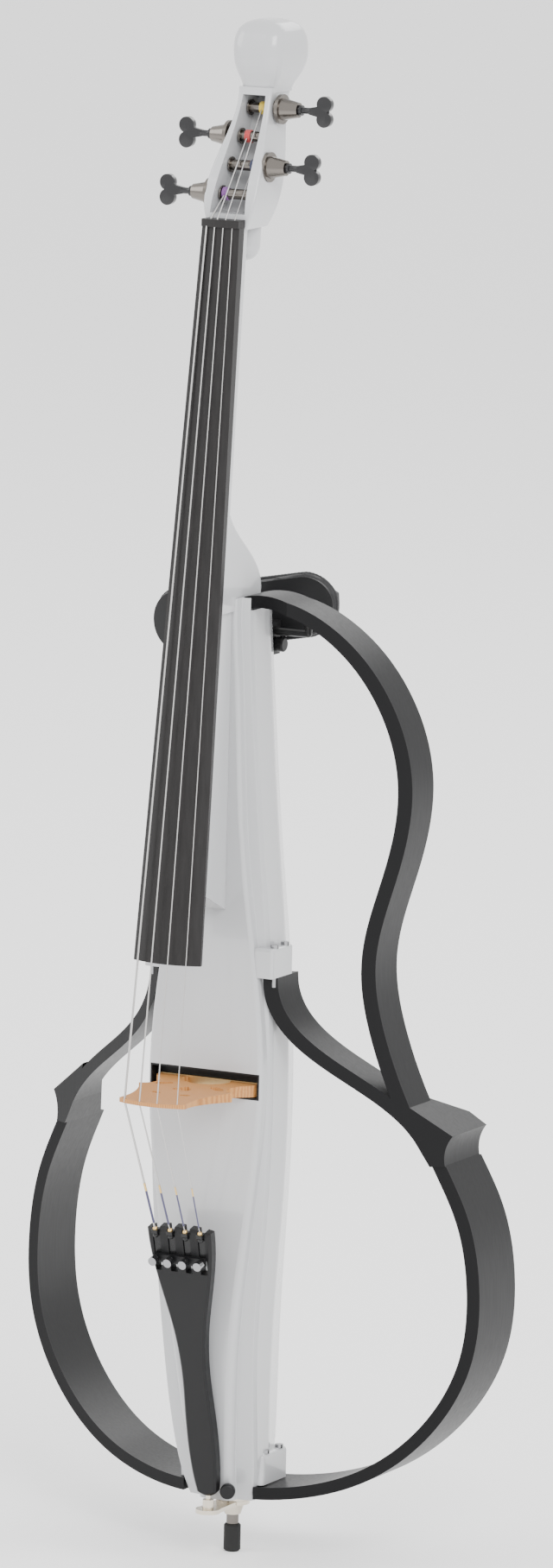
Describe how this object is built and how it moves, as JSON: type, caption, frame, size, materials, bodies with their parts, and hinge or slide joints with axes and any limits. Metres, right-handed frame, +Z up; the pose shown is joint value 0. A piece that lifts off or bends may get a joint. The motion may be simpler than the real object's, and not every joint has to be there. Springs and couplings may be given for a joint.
{
  "type": "electric cello",
  "caption": "Full-size silent cello: slim white body, black open frame on the right and left, geared pegs, sliding endpin and chest rest.",
  "frame": {"origin": "middle of the endpin rubber's flat foot, with the endpin pushed in", "axes": "+Z up the instrument along the endpin, -Y to the front where the strings are, +X to the right seen from the front"},
  "size_m": [0.4118, 0.2516, 1.244],
  "materials": {
    "pearl_lacquer": "glossy white pearl lacquer over wood and resin",
    "satin_black_wood": "satin black lacquer on bent laminated wood",
    "ebony_black": "blackened hardwood, rubbed to a low sheen",
    "maple": "bare maple, fine grain",
    "black_plastic": "moulded black plastic, fine texture",
    "piezo_bar": "brass carrier bar",
    "string_steel": "flat-wound steel",
    "nickel": "champagne nickel plate",
    "fine_tuner_black": "black-coated metal",
    "screw_steel": "bright steel",
    "dark_nickel": "polished dark nickel",
    "gloss_black": "polished black resin",
    "rubber_black": "firm black rubber",
    "pad_foam": "black sheet over firm foam",
    "wire_black": "black-coated steel wire",
    "cell_wrap": "plain shrink sleeve",
    "board_green": "green board with copper side inward"
  },
  "bodies": {
    "instrument": {"body_shell": "pearl_lacquer", "back_cover": "pearl_lacquer", "neck": "pearl_lacquer", "waist_brackets": "pearl_lacquer", "foot_brackets": "pearl_lacquer", "right_upper_bout": "satin_black_wood", "right_strut": "satin_black_wood", "right_lower_bout": "satin_black_wood", "left_strut": "satin_black_wood", "left_lower_bout": "satin_black_wood", "fingerboard": "ebony_black", "nut": "ebony_black", "bridge": "maple", "bridge_seat": "black_plastic", "tailpiece": "black_plastic", "control_panel": "black_plastic", "chest_clamp": "black_plastic", "tuner_bridge": "black_plastic", "bridge_pickup": "piezo_bar", "string_c": "string_steel", "string_a": "string_steel", "string_g": "string_steel", "string_d": "string_steel", "tail_hanger": "nickel", "endpin_socket": "nickel", "cover_screws": "nickel", "lever_pins": "nickel", "frame_screws": "screw_steel", "jack_sockets": "screw_steel", "peg_cases": "dark_nickel", "batteries": "cell_wrap", "circuit_board": "board_green"},
    "peg_key_c": {"key_c": "gloss_black"},
    "peg_post_c": {"post_c": "dark_nickel"},
    "peg_key_a": {"key_a": "gloss_black"},
    "peg_post_a": {"post_a": "dark_nickel"},
    "peg_key_g": {"key_g": "gloss_black"},
    "peg_post_g": {"post_g": "dark_nickel"},
    "peg_key_d": {"key_d": "gloss_black"},
    "peg_post_d": {"post_d": "dark_nickel"},
    "fine_tuner_c": {"fine_lever_c": "fine_tuner_black"},
    "fine_knob_c": {"fine_screw_c": "screw_steel"},
    "fine_tuner_g": {"fine_lever_g": "fine_tuner_black"},
    "fine_knob_g": {"fine_screw_g": "screw_steel"},
    "fine_tuner_d": {"fine_lever_d": "fine_tuner_black"},
    "fine_knob_d": {"fine_screw_d": "screw_steel"},
    "fine_tuner_a": {"fine_lever_a": "fine_tuner_black"},
    "fine_knob_a": {"fine_screw_a": "screw_steel"},
    "endpin": {"endpin_rod": "dark_nickel", "endpin_tip": "rubber_black"},
    "endpin_lock": {"endpin_lock_screw": "black_plastic"},
    "chest_rest": {"chest_plate": "black_plastic", "chest_pad": "pad_foam", "chest_wire": "wire_black"},
    "chest_wheel": {"chest_clamp_wheel": "black_plastic"},
    "volume": {"volume_knob": "gloss_black"},
    "switch": {"power_switch": "black_plastic"},
    "door": {"battery_door": "black_plastic"}
  },
  "joints": [
    {"name": "key_c_turn", "type": "hinge", "parent": "instrument", "child": "peg_key_c", "pos_m": [0, -0.043, 1.108], "axis": [-1, 0, 0], "continuous": true},
    {"name": "post_c_turn", "type": "hinge", "parent": "instrument", "child": "peg_post_c", "pos_m": [0, -0.043, 1.108], "axis": [-1, 0, 0], "continuous": true},
    {"name": "key_a_turn", "type": "hinge", "parent": "instrument", "child": "peg_key_a", "pos_m": [0, -0.0304, 1.13], "axis": [1, 0, 0], "continuous": true},
    {"name": "post_a_turn", "type": "hinge", "parent": "instrument", "child": "peg_post_a", "pos_m": [0, -0.0304, 1.13], "axis": [1, 0, 0], "continuous": true},
    {"name": "key_g_turn", "type": "hinge", "parent": "instrument", "child": "peg_key_g", "pos_m": [0, -0.0178, 1.152], "axis": [-1, 0, 0], "continuous": true},
    {"name": "post_g_turn", "type": "hinge", "parent": "instrument", "child": "peg_post_g", "pos_m": [0, -0.0178, 1.152], "axis": [-1, 0, 0], "continuous": true},
    {"name": "key_d_turn", "type": "hinge", "parent": "instrument", "child": "peg_key_d", "pos_m": [0, -0.0052, 1.174], "axis": [1, 0, 0], "continuous": true},
    {"name": "post_d_turn", "type": "hinge", "parent": "instrument", "child": "peg_post_d", "pos_m": [0, -0.0052, 1.174], "axis": [1, 0, 0], "continuous": true},
    {"name": "fine_knob_c_turn", "type": "hinge", "parent": "instrument", "child": "fine_knob_c", "pos_m": [-0.02021, -0.10008, 0.25874], "axis": [0, -0.9691, -0.2465], "range_deg": [0, 1080]},
    {"name": "fine_lever_c_tilt", "type": "hinge", "parent": "instrument", "child": "fine_tuner_c", "pos_m": [-0.02021, -0.09769, 0.2676], "axis": [1, 0, 0], "range_deg": [0, 6]},
    {"name": "fine_knob_g_turn", "type": "hinge", "parent": "instrument", "child": "fine_knob_g", "pos_m": [-0.00674, -0.10008, 0.25874], "axis": [0, -0.9691, -0.2465], "range_deg": [0, 1080]},
    {"name": "fine_lever_g_tilt", "type": "hinge", "parent": "instrument", "child": "fine_tuner_g", "pos_m": [-0.00674, -0.09769, 0.2676], "axis": [1, 0, 0], "range_deg": [0, 6]},
    {"name": "fine_knob_d_turn", "type": "hinge", "parent": "instrument", "child": "fine_knob_d", "pos_m": [0.00674, -0.10008, 0.25874], "axis": [0, -0.9691, -0.2465], "range_deg": [0, 1080]},
    {"name": "fine_lever_d_tilt", "type": "hinge", "parent": "instrument", "child": "fine_tuner_d", "pos_m": [0.00674, -0.09769, 0.2676], "axis": [1, 0, 0], "range_deg": [0, 6]},
    {"name": "fine_knob_a_turn", "type": "hinge", "parent": "instrument", "child": "fine_knob_a", "pos_m": [0.02021, -0.10008, 0.25874], "axis": [0, -0.9691, -0.2465], "range_deg": [0, 1080]},
    {"name": "fine_lever_a_tilt", "type": "hinge", "parent": "instrument", "child": "fine_tuner_a", "pos_m": [0.02021, -0.09769, 0.2676], "axis": [1, 0, 0], "range_deg": [0, 6]},
    {"name": "endpin_slide", "type": "slide", "parent": "instrument", "child": "endpin", "axis": [0, 0, -1], "range_m": [0, 0.31]},
    {"name": "endpin_lock_turn", "type": "hinge", "parent": "instrument", "child": "endpin_lock", "pos_m": [0, 0, 0.059], "axis": [0.3665, -0.9304, 0], "range_deg": [0, 720]},
    {"name": "chest_rest_tilt", "type": "hinge", "parent": "instrument", "child": "chest_rest", "pos_m": [0, 0.0125, 0.754], "axis": [1, 0, 0], "range_deg": [-10, 12]},
    {"name": "chest_wheel_turn", "type": "hinge", "parent": "instrument", "child": "chest_wheel", "pos_m": [0.015, 0.0125, 0.7435], "axis": [1, 0, 0], "range_deg": [0, 720]},
    {"name": "volume_turn", "type": "hinge", "parent": "instrument", "child": "volume", "pos_m": [-0.0315, -0.034, 0.66], "axis": [-1, 0, 0], "range_deg": [-140, 140]},
    {"name": "power_switch_slide", "type": "slide", "parent": "instrument", "child": "switch", "axis": [0, 0, 1], "range_m": [0, 0.004]},
    {"name": "battery_door_swing", "type": "hinge", "parent": "instrument", "child": "door", "pos_m": [0, 0.0246, 0.3024], "axis": [1, 0, 0], "range_deg": [-90, 0]}
  ],
  "couplings": [
    {"joint": "post_c_turn", "follows": "key_c_turn", "ratio": 0.25},
    {"joint": "post_a_turn", "follows": "key_a_turn", "ratio": 0.25},
    {"joint": "post_g_turn", "follows": "key_g_turn", "ratio": 0.25},
    {"joint": "post_d_turn", "follows": "key_d_turn", "ratio": 0.25},
    {"joint": "fine_lever_c_tilt", "follows": "fine_knob_c_turn", "ratio": 0.0055556},
    {"joint": "fine_lever_g_tilt", "follows": "fine_knob_g_turn", "ratio": 0.0055556},
    {"joint": "fine_lever_d_tilt", "follows": "fine_knob_d_turn", "ratio": 0.0055556},
    {"joint": "fine_lever_a_tilt", "follows": "fine_knob_a_turn", "ratio": 0.0055556}
  ]
}
